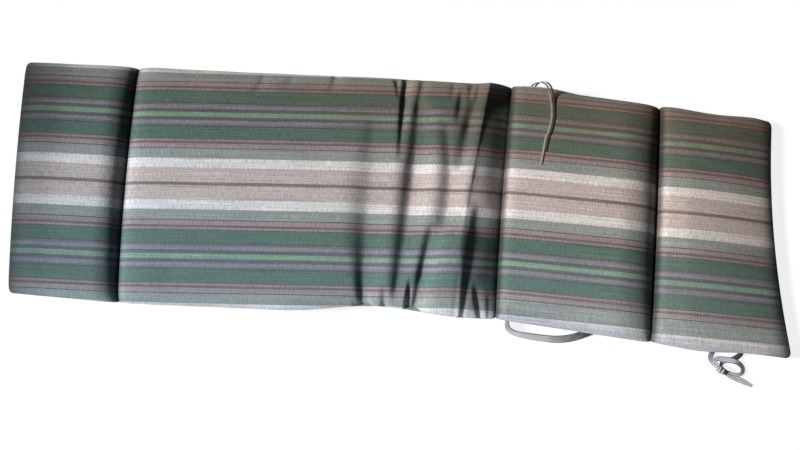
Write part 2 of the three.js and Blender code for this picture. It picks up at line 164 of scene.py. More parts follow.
# Routes of the sewn tapes: middle of the tape, its width there, and its turn about its own length
ROUTE_COLUMNS = ("x", "y", "z", "wide", "turn")
BACK_TIE_LONG = (
    (312, 288, 22, 4.4, 0),
    (313, 303, 24, 4.4, 0),
    (318, 308, 33, 4.4, 0),
    (326, 308, 44, 4.4, 0),
    (337, 304, 53, 4.4, 0),
    (345, 298, 55, 4.4, 0),
    (351, 288, 54, 4.4, 0),
    (355, 276, 52.6, 4.4, 0),
    (358, 261, 52.2, 4.4, 0),
    (360.5, 243, 53.2, 4.4, 0),
    (361, 226, 54.4, 4.4, 0),
    (360, 211, 55.4, 4.4, 0),
    (357.5, 195, 56.5, 4.2, 0),
    (354.5, 183, 57.1, 4.2, 0),
    (349.5, 170, 57.8, 4.2, 0),
    (346.5, 156, 58.4, 4.2, 0),
    (344.5, 141, 58.9, 4.2, 0),
    (342.5, 125, 59.3, 4, 0),
    (340.5, 110, 59.7, 3.8, 0),
    (339, 98, 60, 3.4, 0),
)
BACK_TIE_SHORT = (
    (320.5, 288, 22, 4.4, 0),
    (321.5, 303, 24, 4.4, 0),
    (326.5, 309, 34, 4.4, 0),
    (334.5, 309.5, 45, 4.4, 0),
    (344, 306, 55, 4.4, 0),
    (352, 299, 57.3, 4.4, 0),
    (358.2, 289, 55.3, 4.4, 0),
    (361.6, 276, 53.2, 4.4, 0),
    (364.2, 261, 52.4, 4.4, 0),
    (366, 243, 53.3, 4.4, 0),
    (366.2, 226, 54.5, 4.4, 0),
    (365, 211, 55.5, 4.4, 0),
    (362.6, 195.5, 56.6, 4.2, 0),
    (359.7, 183.5, 57.2, 4.2, 0),
    (354.9, 170, 57.9, 4.2, 0),
    (351.7, 156, 58.4, 4.2, 0),
    (349.7, 143, 58.9, 4, 0),
    (348, 131, 59.2, 3.6, 0),
)
STRAP = (
    (289, -256, 16, 16, 65),
    (285, -270, 13, 16, 65),
    (285, -281, 10.5, 17, 62),
    (291, -291, 9, 17, 58),
    (307, -298, 8, 17, 50),
    (339, -302, 7.2, 18, 42),
    (374, -304, 6.4, 18, 34),
    (402, -304, 5.4, 18, 26),
    (432, -299, 4.2, 18, 18),
    (458, -290, 4.6, 18, 14),
    (480, -280, 7.5, 18, 10),
    (498, -271, 11, 18, 8),
)
FRONT_TIE_LEFT = (
    (766, -290, 10, 12, 0),
    (764, -304, 6.5, 12, 0),
    (761, -316, 2.2, 12, 0),
    (764.5, -327, 1.6, 11, 0),
    (771.5, -334.5, 3, 9, 0),
    (778, -341, 5, 8, 0),
    (788, -348.5, 4.5, 8, 0),
    (797, -352, 2.6, 10, 0),
    (810, -357.5, 1.6, 12.5, 0),
    (830, -365, 1.4, 12.5, 0),
    (846, -371.5, 1.3, 10, 0),
    (857, -376, 1.3, 6, 0),
)
FRONT_TIE_RIGHT = (
    (831, -290, 10, 12, 0),
    (829, -305, 6, 12, 0),
    (822, -313, 1.8, 12, 0),
    (811, -318.5, 1.3, 11, 0),
    (797, -323.5, 1.3, 9, 0),
    (787, -329.5, 1.8, 8, 0),
    (784, -340, 4, 7, 0),
    (779, -341, 10, 6, 0),
    (773, -332, 8.4, 7, 0),
    (770, -325, 6.8, 8, 0),
    (775, -320, 5.6, 10, 0),
    (788, -320.5, 4.8, 13.5, 0),
    (808, -321.5, 4.6, 13, 0),
    (824, -326, 4.2, 11.5, 0),
    (833.5, -334, 3.2, 10, 0),
    (835.5, -343, 3, 9, 0),
    (830.5, -350.5, 4, 8.5, 0),
    (818, -353.5, 5, 8, 0),
    (803, -350.5, 6.2, 7.5, 0),
    (788, -345, 8.5, 6, 0),
)
BACK_TIE_THICK = 1.6
FRONT_TIE_THICK = 2.0
STRAP_THICK = 2.4
TAPE_STEPS = 8

# Section of a folded tape, with the fold on one side and the edges of two layers parted on the other:
# share of the half width, share of the half thickness added to it, height in half thicknesses
TAPE_PROFILE = np.array([
    (1, -0.9, 1),
    (0.55, 0, 0.92),
    (0, 0, 1),
    (-0.6, 0, 0.94),
    (-1, 0.9, 1),
    (-1, 0, 0.55),
    (-1, 0.55, 0),
    (-1, 0, -0.55),
    (-1, 0.9, -1),
    (-0.6, 0, -0.94),
    (0, 0, -1),
    (0.55, 0, -0.92),
    (1, -0.9, -1),
    (1, -0.3, -0.7),
    (1, 0, 0),
    (1, -0.3, 0.7),
], dtype=float)

# Knot of the front ties: middle, heading in plan, length, radius across, height, its slanting wraps and
# the shape of their ridges, fineness, and its gap from the floor
KNOT_MIDDLE = (783.0, -345.0)
KNOT_HEADING = -32.0
KNOT_LENGTH = 24.0
KNOT_RADIUS = 8.0
KNOT_HIGH = 6.4
KNOT_WRAPS = 3
KNOT_PROUD = 0.12
KNOT_SLANT = 0.22
KNOT_RIDGE = 2.4
KNOT_RIDGE_POWER = 0.7
KNOT_END = 0.998
KNOT_STEPS = 60
KNOT_SIDES = 40
SEAT_GAP = 0.3

# Stripes of the cover: half of their mirrored repeat, and where each starts, from the brown line. Past
# the body section the cloth is pulled round the front edge, which widens the stripes there
HALF_REPEAT = 173.0
FRONT_PULL_FROM = 260.0
FRONT_PULL = 0.34
STRIPES = (
    (0.0, "brown"),
    (3.9, "beige"),
    (18.0, "pale_beige"),
    (25.0, "beige"),
    (39.0, "white"),
    (61.5, "grey_green"),
    (86.0, "dark_line"),
    (88.5, "pink"),
    (99.0, "red_brown"),
    (104.5, "pale_pink"),
    (110.0, "dark_line"),
    (112.0, "green"),
    (141.5, "dark_line"),
    (144.0, "dim_lavender"),
    (149.0, "lavender"),
    (157.5, "purple_grey"),
    (164.5, "grey_shade"),
    (167.5, "light_green"),
)
YARN = {
    "brown": (0.225, 0.182, 0.165),
    "beige": (0.491, 0.440, 0.405),
    "pale_beige": (0.500, 0.462, 0.430),
    "white": (0.672, 0.665, 0.640),
    "grey_green": (0.279, 0.309, 0.290),
    "dark_line": (0.105, 0.090, 0.092),
    "pink": (0.315, 0.275, 0.268),
    "red_brown": (0.178, 0.125, 0.124),
    "pale_pink": (0.300, 0.245, 0.245),
    "green": (0.095, 0.164, 0.131),
    "dim_lavender": (0.165, 0.170, 0.178),
    "lavender": (0.245, 0.256, 0.272),
    "purple_grey": (0.122, 0.117, 0.133),
    "grey_shade": (0.140, 0.150, 0.140),
    "light_green": (0.205, 0.330, 0.235),
}

# Noise on the cloth is given as swings to the metre along and across it, and detail. Stripe edges
# wander by a yarn or two, and the marks woven into the stripes are stronger and weaker by turns
WANDER = (220.0, 900.0, 2.0)
WANDER_MOST = 0.8
MARK_PATCHES = (90.0, 300.0, 2.0)
MARK_LEVELS = (0.3, 0.7, 0.15, 1.0)

# Bars of the lavender stripe and dots of the pink ones: span from the brown line, start within half a
# pitch, wander, strength and colour
MARK_HALF_PITCH = 3.0
MARKS = (
    ((144.0, 157.5), 2.0, 1.0, 0.8, (0.13, 0.14, 0.15)),
    ((88.5, 110.0), 1.8, 0.0, 0.5, (0.16, 0.12, 0.11)),
)

# Weave of the cover: warp, weft and specks with their shares, levels of shade, worn patches and relief
COVER_YARNS = (
    ((5.0, 420.0, 1.0), 0.36),
    ((330.0, 60.0, 1.0), 0.30),
    ((300.0, 300.0, 1.0), 0.34),
)
COVER_LEVELS = (0.35, 0.65, 0.62, 1.38)
WORN_PATCHES = (7.0, 7.0, 3.0)
WORN_GAIN = 0.20
WORN_LEAST = 0.90
WEFT_PITCH = 2.2
WARP_PITCH = 1.8
GRAIN_RELIEF = 2.0
COVER_RELIEF = 0.3

# Weave of the tapes, where noise across counts swings to the half width: patches, yarns and their
# levels of shade, the row of stitches along the open edge, and relief
TAPE_PATCHES = (60.0, 1.0, 2.0)
TAPE_PATCH_MOST = 0.3
TAPE_YARNS = (
    ((160.0, 9.0, 2.0), 0.6),
    ((900.0, 2.0, 2.0), 0.4),
)
TAPE_LEVELS = (0.3, 0.7, 0.72, 1.2)
STITCH_ROW = (-0.72, -0.56)
STITCH_HALF_PITCH = 2.1
STITCH_START = 0.7
STITCH_GAIN = 0.3
TAPE_RELIEF = 0.5

# Colours of the tapes. The root colours, the edge colours, rim, dark and strap_shade are painted shade
# where a tape passes under the cushion's edge, turns away from the light or sinks between wraps; the
# short tie's tan is its own tan darkened with painted shade
TAPE_YARN = {
    "cream": (0.42, 0.38, 0.33),
    "cream_edge": (0.30, 0.265, 0.215),
    "cream_root": (0.08, 0.07, 0.05),
    "tan": (0.10, 0.086, 0.068),
    "tan_edge": (0.05, 0.043, 0.035),
    "tan_root": (0.035, 0.030, 0.022),
    "pale": (0.52, 0.53, 0.60),
    "pale_root": (0.09, 0.09, 0.11),
    "ear": (0.50, 0.50, 0.56),
    "wrap": (0.46, 0.45, 0.50),
    "rim": (0.055, 0.052, 0.058),
    "dark": (0.030, 0.027, 0.031),
    "strap": (0.46, 0.46, 0.50),
    "strap_shade": (0.045, 0.045, 0.05),
    "strap_edge": (0.09, 0.085, 0.09),
}

# Cloth of each tape: colour near the root, colour far from it, run over which one turns to the other,
# colour of the edges, where across they start, strength of the groove, places of painted shade (middle,
# half). The edge colour is painted as shade along the edges, in the groove and at those places
TAPE_CLOTHS = {
    "tie_cream": ("cream_root", "cream", (30, 250), "cream_edge", 0.66, 0.0, ()),
    "tie_tan": ("tan_root", "tan", (50, 240), "tan_edge", 0.66, 0.0, ()),
    "tie_pale": ("pale_root", "pale", (18, 42), "rim", 0.66, 0.8, ()),
    "tie_ear": ("dark", "ear", (28, 58), "rim", 0.62, 0.2, ((176, 26),)),
    "tie_wrapped": ("ear", "wrap", (0, 50), "dark", 0.5, 0.0, ()),
    "strap_cloth": ("strap", "strap_shade", (120, 225), "strap_edge", 0.74, 0.0, ((12, 45),)),
}
# Painted shade on the tapes: softness and strength along the edges, span of the groove, and core and
# strength at the places of painted shade
RIM_SOFT = 0.14
RIM_MOST = 0.8
GROOVE_SPAN = (0.2, 0.05)
DIP_SHADE_CORE = 0.4
DIP_SHADE_MOST = 0.85

# Dull cloth
CLOTH_SHADER = {
    "Roughness": 0.92,
    "Specular IOR Level": 0.15,
    "Sheen Weight": 0.06,
    "Sheen Roughness": 0.5,
}
BUMP_STRENGTH = 0.6

# Painted light and shade, as tones that multiply the cloth's colour: painted shade darker and warmer
# towards the back edge, painted cool light towards the front edge, tints of the head and foot ends,
# painted shade on the front roll past the body section, and painted shade on the head and foot sections
# and the head's free end
BACK_SHADE = (0.80, 0.74, 0.68)
FRONT_COOL_LIGHT = (0.98, 1.06, 1.10)
HEAD_TINT = (0.92, 1.00, 1.14)
FOOT_TINT = (1.08, 0.97, 0.93)
TINT_REACH = 930.0
FRONT_ROLL = (0.64, 0.66, 0.75)
FRONT_ROLL_WIDE = 36.0
HEAD_END_SHADE = 0.16
HEAD_SHADE = 0.93
FOOT_SHADE = 0.95

# Painted shade along the channels and the two free ends: its strength, its reach from the line
CREASE_SHADE = 0.85
CREASE_REACH = 9.0
HEAD_CREASE = 0.7
HEAD_CREASE_REACH = 18.0
FOOT_CREASE = 0.95
FOOT_CREASE_REACH = 23.0

# Painted cool light towards the front edge, mixed in as a pale veil, and patches of dirt along the back
# edge
FRONT_LIGHT_VEIL = (0.36, 0.42, 0.44)
FRONT_VEIL_MOST = 0.10
DIRT = (0.17, 0.125, 0.085)
DIRT_MOST = 0.40
DIRT_PATCH = 60.0
DIRT_SEED = 5.3
DIRT_LEVEL = 0.8
DIRT_UNEVEN = 0.6

# Runs over which the painted light and shade and the dirt set in: start and length along x, along y, or
# towards the front
BACK_SHADE_RUN_Y = (20.0, 260.0)
FRONT_LIGHT_RUN = (-10.0, 230.0)
HEAD_RUN_X = (-935.0, 180.0)
FOOT_RUN_X = (700.0, 130.0)
DIRT_RUN_X = (-600.0, 800.0)
DIRT_RUN_Y = (30.0, 240.0)

# Camera: a 36 mm lens on a 36 mm sensor, looking down at the face, in metres
LENS = 36.0
SENSOR = 36.0
AIM = (0.0120, -0.0633, 0.030)
AIM_DISTANCE = 1.890
CAMERA_TILT = 11.0
CAMERA_TURN = 4.4

# Light, in metres: a low sun from the left, a cool panel over the front edge, a faint warm sky
KEY_AZIMUTH = 184.0
KEY_ELEVATION = 24.0
KEY_STRENGTH = 7.3
KEY_COLOUR = (1.0, 0.975, 0.95)
KEY_ANGLE = 10.0
KEY_DISTANCE = 3.0
PANEL_PLACE = (0.0, -1.25, 1.5)
PANEL_TARGET = (0.0, -1.25, 0.0)
PANEL_SIZE = (3.2, 0.5)
PANEL_POWER = 4.5
PANEL_COLOUR = (0.75, 0.89, 1.0)
SKY_COLOUR = (1.0, 0.95, 0.88, 1.0)
SKY_STRENGTH = 0.012

# Floor, in metres: the white ground of a cut-out, which still takes a faint shadow
FLOOR_SIZE = 30.0
FLOOR_Z = -0.0006
FLOOR_SHADER = {
    "Base Color": (0.18, 0.18, 0.18, 1.0),
    "Roughness": 1.0,
    "Specular IOR Level": 0.0,
    "Emission Color": (1.0, 1.0, 1.0, 1.0),
    "Emission Strength": 0.84,
}


def swell(distance, reach, power=2.0):
    """Swell of the skin from 0 at a line to 1 at the given reach."""
    short = np.maximum(0.0, 1.0 - distance / reach)
    return (1.0 - short ** power) ** (1.0 / power)


def smooth(value):
    t = np.clip(value, 0.0, 1.0)
    return t * t * (3.0 - 2.0 * t)


def ease(value, run):
    """0 before a run given by its start and length, 1 after it."""
    start, length = run
    return smooth((value - start) / length)


def lerp(a, b, t):
    return a + (b - a) * t


def column(rows, columns, name):
    return rows[:, columns.index(name)]


def edge_wave(edge, x):
    """Draw-in of one long edge along the length."""
    total = np.zeros_like(x)
    for wave_edge, middle, half, drawn_in in EDGE_WAVES:
        if wave_edge == edge:
            off = np.minimum(1.0, np.abs(x - middle) / half)
            total += drawn_in * np.cos(off * math.pi / 2) ** 2
    return total


def along_three(start, middle, end, share):
    """Smooth run through three values."""
    return lerp(start, end, share) + 4 * share * (1 - share) * (middle - (start + end) / 2)


def fold_depth(x, y):
    """Depth of all folds on the face: steep on the left, easing out on the right."""
    total = np.zeros_like(x)
    for lines, (from_y, to_y), halves, depths, fade in FOLDS:
        share = (y - from_y) / (to_y - from_y)
        s = np.clip(share, 0.0, 1.0)
        half = along_three(*halves, s)
        aside = x - along_three(*lines, s) - STEEP_SIDE * half
        reach = np.where(aside < 0, half, half * FOLD_EASE)
        to_end = np.minimum(share, 1 - share) * abs(to_y - from_y)
        ends = smooth(to_end / fade + 0.5)
        total += along_three(*depths, s) * ends * np.exp(-((aside / reach) ** 2))
    return total


def noise_field(x, y, size, seed):
    """Smooth noise on the plan, about -1 to 1."""
    flat = np.array([
        noise.noise(Vector((a / size, b / size, seed)))
        for a, b in zip(x.ravel(), y.ravel())
    ])
    return flat.reshape(x.shape)


def section_places(fact, length):
    """Distances of a section's rings from its left line, closer where the skin falls to a line."""
    left = fact["left_fall"]
    right = max(fact["right_fall_back"], fact["right_fall_front"])
    turn = np.arange(FALL_STEPS) / FALL_STEPS * math.pi / 2
    round_left = left * (1 - np.cos(turn))
    round_right = length - right * (1 - np.cos(turn[:0:-1]))
    left_steps = int(left / fact["pitch"])
    rise = left * np.arange(1, left_steps) / left_steps
    right_steps = int(right / fact["pitch"])
    fall = length - right + right * np.arange(1, right_steps) / right_steps
    count = int((length - right - left) / fact["pitch"])
    plain = np.linspace(left, length - right, max(2, count))
    places = np.unique(np.concatenate([round_left, rise, plain, fall, round_right]))
    return places[np.concatenate([[True], np.diff(places) > RING_GAP])]


def ring_places():
    """Section, distance from its left line and length for every ring of the skin."""
    mean_x = (column(LINES, LINE_COLUMNS, "back_x") + column(LINES, LINE_COLUMNS, "front_x")) / 2
    rows = []
    for k, section in enumerate(SECTIONS):
        length = mean_x[k + 1] - mean_x[k]
        places = section_places(dict(zip(SECTION_COLUMNS, section)), length)
        rows += [(k, place, length) for place in places if place < length - RING_END_GAP]
    rows.append((len(SECTIONS) - 1, length, length))
    return np.array(rows)


def ring_facts():
    """Each ring's section, its place between the section's two lines, and the facts of those lines."""
    places = ring_places()
    k = places[:, 0].astype(int)
    ring = SimpleNamespace(place=places[:, 1:2], length=places[:, 2:3])
    ring.left = {name: LINES[k, i:i + 1] for i, name in enumerate(LINE_COLUMNS)}
    ring.right = {name: LINES[k + 1, i:i + 1] for i, name in enumerate(LINE_COLUMNS)}
    ring.fact = {name: SECTIONS[k, i:i + 1] for i, name in enumerate(SECTION_COLUMNS)}
    ring.t = ring.place / ring.length
    ring.from_right = ring.length - ring.place
    ring.near_left = ring.t < 0.5
    ring.is_head = k[:, None] == 0
    ring.is_foot = k[:, None] == len(SECTIONS) - 1
    ring.is_past_body = k[:, None] >= FIRST_PAST_BODY
    ring.at_end = np.where(ring.near_left, ring.is_head, ring.is_foot)
    ring.to_line = np.where(ring.near_left, ring.place, ring.from_right)
    return ring


def girth_rows():
    """Panel (1 top, -1 under), edge (1 back, 0 face, -1 front), turn of the roll and share across."""
    quarter = math.pi / 2
    rows = []
    for panel, roll_rows, face_rows in ((1, ROLL_ROWS, FACE_ROWS), (-1, UNDER_ROLL_ROWS, UNDER_ROWS)):
        rising = [(panel, panel, quarter * i / roll_rows, 0.0) for i in range(roll_rows)]
        face = [(panel, 0, quarter, i / face_rows) for i in range(face_rows + 1)]
        falling = [(panel, -panel, quarter * i / roll_rows, 0.0) for i in range(roll_rows - 1, -1, -1)]
        if panel < 0:
            face = [(panel, 0, quarter, 1 - across) for _, _, _, across in face]
        rows += rising + face + falling
    panel, edge, turn, across = np.array(rows).T[:, None, :]
    return SimpleNamespace(panel=panel, edge=edge, turn=turn, across=across)


def long_edges(ring):
    """Back and front edge on each ring, drawn in at the channels and rounded at the corners."""
    corner_short = np.maximum(0.0, CORNER_RADIUS - ring.to_line)
    corner = CORNER_RADIUS - np.sqrt(CORNER_RADIUS ** 2 - corner_short ** 2)
    notch = WEB_NOTCH * (1 - swell(ring.to_line, WEB_NOTCH_ROUND))
    draw_in = np.where(ring.at_end, corner, notch)
    back_x, back_y, front_x, front_y = (
        lerp(ring.left[name], ring.right[name], ring.t) for name in LINE_COLUMNS[:4]
    )
    back_y = back_y - edge_wave(1, back_x) - draw_in
    front_y = front_y + edge_wave(-1, front_x) + draw_in
    return back_x, back_y, front_x, front_y


def skin_plan(ring, row):
    """Plan of every point, and its share of the way from the back edge to the front edge."""
    back_x, back_y, front_x, front_y = long_edges(ring)
    width = back_y - front_y
    reach = np.where(row.panel > 0, TOP_ROLL, BOTTOM_ROLL)
    inset = reach * (1 - np.cos(row.turn)) / width
    on_face = lerp(reach / width, 1 - reach / width, row.across)
    w = np.where(row.edge > 0, inset, np.where(row.edge < 0, 1 - inset, on_face))
    bow = lerp(ring.left["bow"], ring.right["bow"], ring.t)
    x = lerp(back_x, front_x, w) + bow * 4 * w * (1 - w)
    y = lerp(back_y, front_y, w)
    return x, y, w


def skin_swell(ring, w):
    """How far the face and the long edges have risen from the lines: 0 on a line, 1 in full."""
    fact = ring.fact
    fall = lerp(fact["right_fall_back"], fact["right_fall_front"], w)
    power = lerp(fact["right_power_back"], fact["right_power_front"], w)
    left = swell(ring.place, fact["left_fall"], fact["left_power"])
    face = left * swell(ring.from_right, fall, power)
    edge = np.where(ring.is_foot, left * smooth(ring.from_right / FOOT_EDGE_RISE), face)
    return face, edge


def closing_heights(ring):
    """Middle and half height that the skin closes to at the two lines."""
    left_mid = np.where(ring.is_head, EDGE_Z, WEB_Z)
    right_mid = np.where(ring.is_foot, FOOT_END_Z, WEB_Z)
    left_half = np.where(ring.is_head, TIP_HALF, WEB_HALF)
    right_half = np.where(ring.is_foot, TIP_HALF, WEB_HALF)
    share = smooth(ring.t)
    return lerp(left_mid, right_mid, share), lerp(left_half, right_half, share)


def skin_height(ring, row, w, face_swell, edge_swell):
    """Height of every point of the plain filled skin."""
    mid, half = closing_heights(ring)
    edge_z = lerp(mid, EDGE_Z, edge_swell)
    crown_end = 1 - CROWN_END_DROP * np.abs(2 * ring.t - 1) ** CROWN_END_POWER
    crown_share = (1 - np.abs(2 * w - 1) ** CROWN_POWER) * crown_end
    full_z = lerp(EDGE_TOP_Z, ring.fact["crown"], crown_share)
    face_z = lerp(mid + half, full_z, face_swell)
    under_round = np.where(ring.at_end, END_UNDER_ROUND, WEB_UNDER_ROUND)
    under_z = lerp(mid - half, 0.0, swell(ring.to_line, under_round))
    return lerp(edge_z, np.where(row.panel > 0, face_z, under_z), np.sin(row.turn))


def unevenness(ring, row, x, y, face_swell):
    """How far lumps, folds and puckers move the face along the way it looks."""
    lumps = LUMP_HIGH * noise_field(x, y, LUMP_LONG, LUMP_SEED)
    near_channel = np.exp(-ring.to_line / PUCKER_REACH) * np.minimum(1.0, ring.to_line / PUCKER_START)
    puckers = PUCKER_HIGH * noise_field(x * PUCKER_STRETCH, y, PUCKER_LONG, PUCKER_SEED)
    puckers = puckers * np.where(ring.at_end, 0.0, near_channel)
    return np.where(row.panel > 0, (lumps - fold_depth(x, y)) * face_swell + puckers, 0.0)


def cushion_skin(ring, row):
    """Points of the skin, ring by row."""
    x, y, w = skin_plan(ring, row)
    face_swell, edge_swell = skin_swell(ring, w)
    z = skin_height(ring, row, w, face_swell, edge_swell)
    move = unevenness(ring, row, x, y, face_swell)
    outwards = np.where(w < 0.5, 1, -1)
    y = y + np.cos(row.turn) * outwards * move
    z = z + np.sin(row.turn) * row.panel * move
    return np.stack([x, y, z], axis=-1)


def cloth_coords(ring, row, points):
    """The cloth's own coordinates: along the length, and round the girth from the middle stripe."""
    step = np.linalg.norm(np.diff(points[:, :, 1:], axis=1), axis=-1)
    girth = np.concatenate([np.zeros((len(points), 1)), np.cumsum(step, axis=1)], axis=1)
    brown = lerp(ring.fact["brown_left"], ring.fact["brown_right"], ring.t)
    start = np.array([
        np.interp(-b, -line_y, line_girth)
        for b, line_y, line_girth in zip(brown[:, 0], points[:, :TOP_ROWS, 1], girth[:, :TOP_ROWS])
    ])
    v = girth - start[:, None]
    front_edge = v[:, TOP_ROWS - 1:TOP_ROWS]
    v = np.where(row.panel > 0, v, 2 * front_edge - v) * ring.fact["stretch"]
    v = v - FRONT_PULL * np.maximum(0.0, v - FRONT_PULL_FROM) * ring.is_past_body
    middle = points[:, ROLL_ROWS + FACE_ROWS // 2]
    run = np.linalg.norm(np.diff(middle, axis=0), axis=-1)
    u = np.concatenate([[0.0], np.cumsum(run)])[:, None] * np.ones_like(v)
    return np.stack([u, v], axis=-1) * MM


def crease_shade(ring):
    """Painted shade along the channels and the two free ends."""
    channel = np.exp(-((ring.to_line / CREASE_REACH) ** 2))
    head = HEAD_CREASE * np.exp(-((ring.place / HEAD_CREASE_REACH) ** 2))
    foot = FOOT_CREASE * np.exp(-((ring.from_right / FOOT_CREASE_REACH) ** 2))
    return np.where(ring.at_end, np.where(ring.near_left, head, foot), channel)


def tint(colour, share):
    """White turning to a colour."""
    return lerp(np.ones(3), np.array(colour), share)


def cushion_shade_and_dirt(points, ring):
    """Painted light and shade as a tone, share of painted front light, and dirt, of every point."""
    x, y = points[..., 0:1], points[..., 1:2]
    # Share of painted cool light towards the front edge
    front_light = ease(-y, FRONT_LIGHT_RUN)
    # Painted shade darker and warmer towards the back, times painted cool light towards the front
    tone = tint(BACK_SHADE, ease(y, BACK_SHADE_RUN_Y)) * tint(FRONT_COOL_LIGHT, front_light)
    # Painted shade in the channels and at the two free ends
    tone = tone * (1 - CREASE_SHADE * crease_shade(ring))[..., None]
    tone = tone * lerp(np.array(HEAD_TINT), np.array(FOOT_TINT), (x + TINT_REACH) / (2 * TINT_REACH))
    # Painted shade on the front roll past the body section
    inset = y - y.min(axis=1, keepdims=True)
    roll = smooth(1 - inset / FRONT_ROLL_WIDE) * ring.is_past_body[..., None]
    tone = tone * tint(FRONT_ROLL, roll)
    # Painted shade darkening the head's free end, the head section and the foot section
    head = lerp(HEAD_END_SHADE, HEAD_SHADE, ease(x, HEAD_RUN_X))
    foot = lerp(1.0, FOOT_SHADE, ease(x, FOOT_RUN_X))
    tone = tone * np.where(ring.is_head[..., None], head, foot)
    patch = DIRT_LEVEL + DIRT_UNEVEN * noise_field(x[..., 0], y[..., 0], DIRT_PATCH, DIRT_SEED)
    dirt = DIRT_MOST * (ease(y, DIRT_RUN_Y) * ease(x, DIRT_RUN_X))[..., 0] * patch
    return tone, front_light[..., 0] * FRONT_VEIL_MOST, dirt


def set_shade_and_dirt(obj, tone, fade, dirt):
    """Painted light and shade that multiply the cloth's colour, share of painted front light, and dirt.
    """
    rgba = np.concatenate([tone, np.ones_like(tone[..., :1])], axis=-1)
    layer = obj.data.attributes.new("tone", "FLOAT_COLOR", "POINT")
    layer.data.foreach_set("color", rgba.astype(np.float32).ravel())
    # The fade attribute holds the share of painted front light; dirt is the cloth's own
    for name, value in (("fade", fade), ("dirt", dirt)):
        layer = obj.data.attributes.new(name, "FLOAT", "POINT")
        layer.data.foreach_set("value", value.astype(np.float32).ravel())


def strip_cap(ring_y):
    """Faces that close a ring of the skin, in short steps from its back edge to its front edge."""
    top = list(range(TOP_ROWS))
    under = list(range(len(ring_y) - 1, TOP_ROWS - 1, -1))
    faces = []
    a = b = 0
    while a + 1 < len(top) or b + 1 < len(under):
        under_done = b + 1 == len(under)
        if under_done or (a + 1 < len(top) and ring_y[top[a + 1]] >= ring_y[under[b + 1]]):
            faces.append((top[a], top[a + 1], under[b]))
            a += 1
        else:
            faces.append((under[b + 1], under[b], top[a]))
            b += 1
    return faces


def weld(obj):
    """Joins the points that the face and the underside share along the edges."""
    made = bmesh.new()
    made.from_mesh(obj.data)
    bmesh.ops.remove_doubles(made, verts=made.verts, dist=WELD_GAP * MM)
    made.to_mesh(obj.data)
    made.free()


def closed_loft(name, points, coords, cap=None):
    """Mesh of a closed skin: rings of equal size joined by quads, capped at both ends, with a UV map."""
    rings, rows, _ = points.shape
    i = np.arange(rings - 1)[:, None]
    j = np.arange(rows)[None, :]
    nxt = (j + 1) % rows
    quads = np.stack([i * rows + j, i * rows + nxt, (i + 1) * rows + nxt, (i + 1) * rows + j], axis=-1)
    faces = quads.reshape(-1, 4).tolist()
    last = (rings - 1) * rows
    for face in cap or [tuple(range(rows))]:
        faces.append(face[::-1])
        faces.append([last + corner for corner in face])
    mesh = bpy.data.meshes.new(name)
    mesh.from_pydata(((points.reshape(-1, 3) + ROW_SHIFT) * MM).tolist(), [], faces)
    mesh.update()
    corners = np.empty(len(mesh.loops), dtype=np.int32)
    mesh.loops.foreach_get("vertex_index", corners)
    flat = coords.reshape(-1, 2)[corners]
    layer = mesh.uv_layers.new(name="cloth")
    layer.uv.foreach_set("vector", flat.astype(np.float32).ravel())
    mesh.polygons.foreach_set("use_smooth", np.ones(len(mesh.polygons), dtype=bool))
    obj = bpy.data.objects.new(name, mesh)
    bpy.context.collection.objects.link(obj)
    return obj


